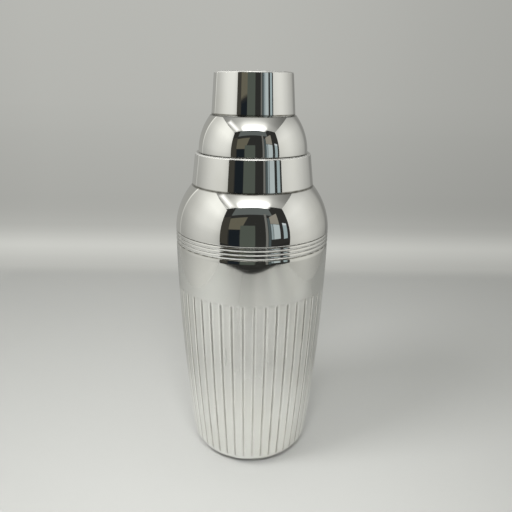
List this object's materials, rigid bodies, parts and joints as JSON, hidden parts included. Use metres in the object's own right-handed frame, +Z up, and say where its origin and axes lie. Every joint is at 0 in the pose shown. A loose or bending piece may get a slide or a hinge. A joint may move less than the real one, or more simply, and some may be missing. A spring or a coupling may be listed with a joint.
{
  "type": "cocktail shaker",
  "caption": "Polished metal cocktail shaker with a fluted vessel, domed shoulder with a reeded band, strainer lid and tapered pouring cap.",
  "frame": {"origin": "centre of the flat ring that the vessel rests on", "axes": "+Z up, along the shaker's turning axis; -Y is the side that faces the viewer"},
  "size_m": [0.09, 0.09, 0.232],
  "materials": {
    "fluted_silver": "mirror-polished silver plate, with fine handling scratches",
    "mirror_silver": "mirror-polished silver plate",
    "neck_silver": "polished silver plate with fine rings rubbed by the lid and cap",
    "base_silver": "satin silver plate, scuffed where it is set down",
    "strainer_steel": "satin"
  },
  "bodies": {
    "vessel": {"fluted_body": "fluted_silver", "base_plate": "base_silver", "ring_band": "mirror_silver", "shoulder": "mirror_silver", "neck_collar": "neck_silver"},
    "strainer_lid": {"lid_band": "mirror_silver", "lid_dome": "mirror_silver", "pour_neck": "neck_silver", "strainer_plate": "strainer_steel"},
    "cap": {"cap": "mirror_silver"}
  },
  "joints": [
    {"name": "lid_lift", "type": "slide", "parent": "vessel", "child": "strainer_lid", "axis": [0, 0, 1], "range_m": [0, 0.05]},
    {"name": "cap_lift", "type": "slide", "parent": "strainer_lid", "child": "cap", "axis": [0, 0, 1], "range_m": [0, 0.04]}
  ]
}
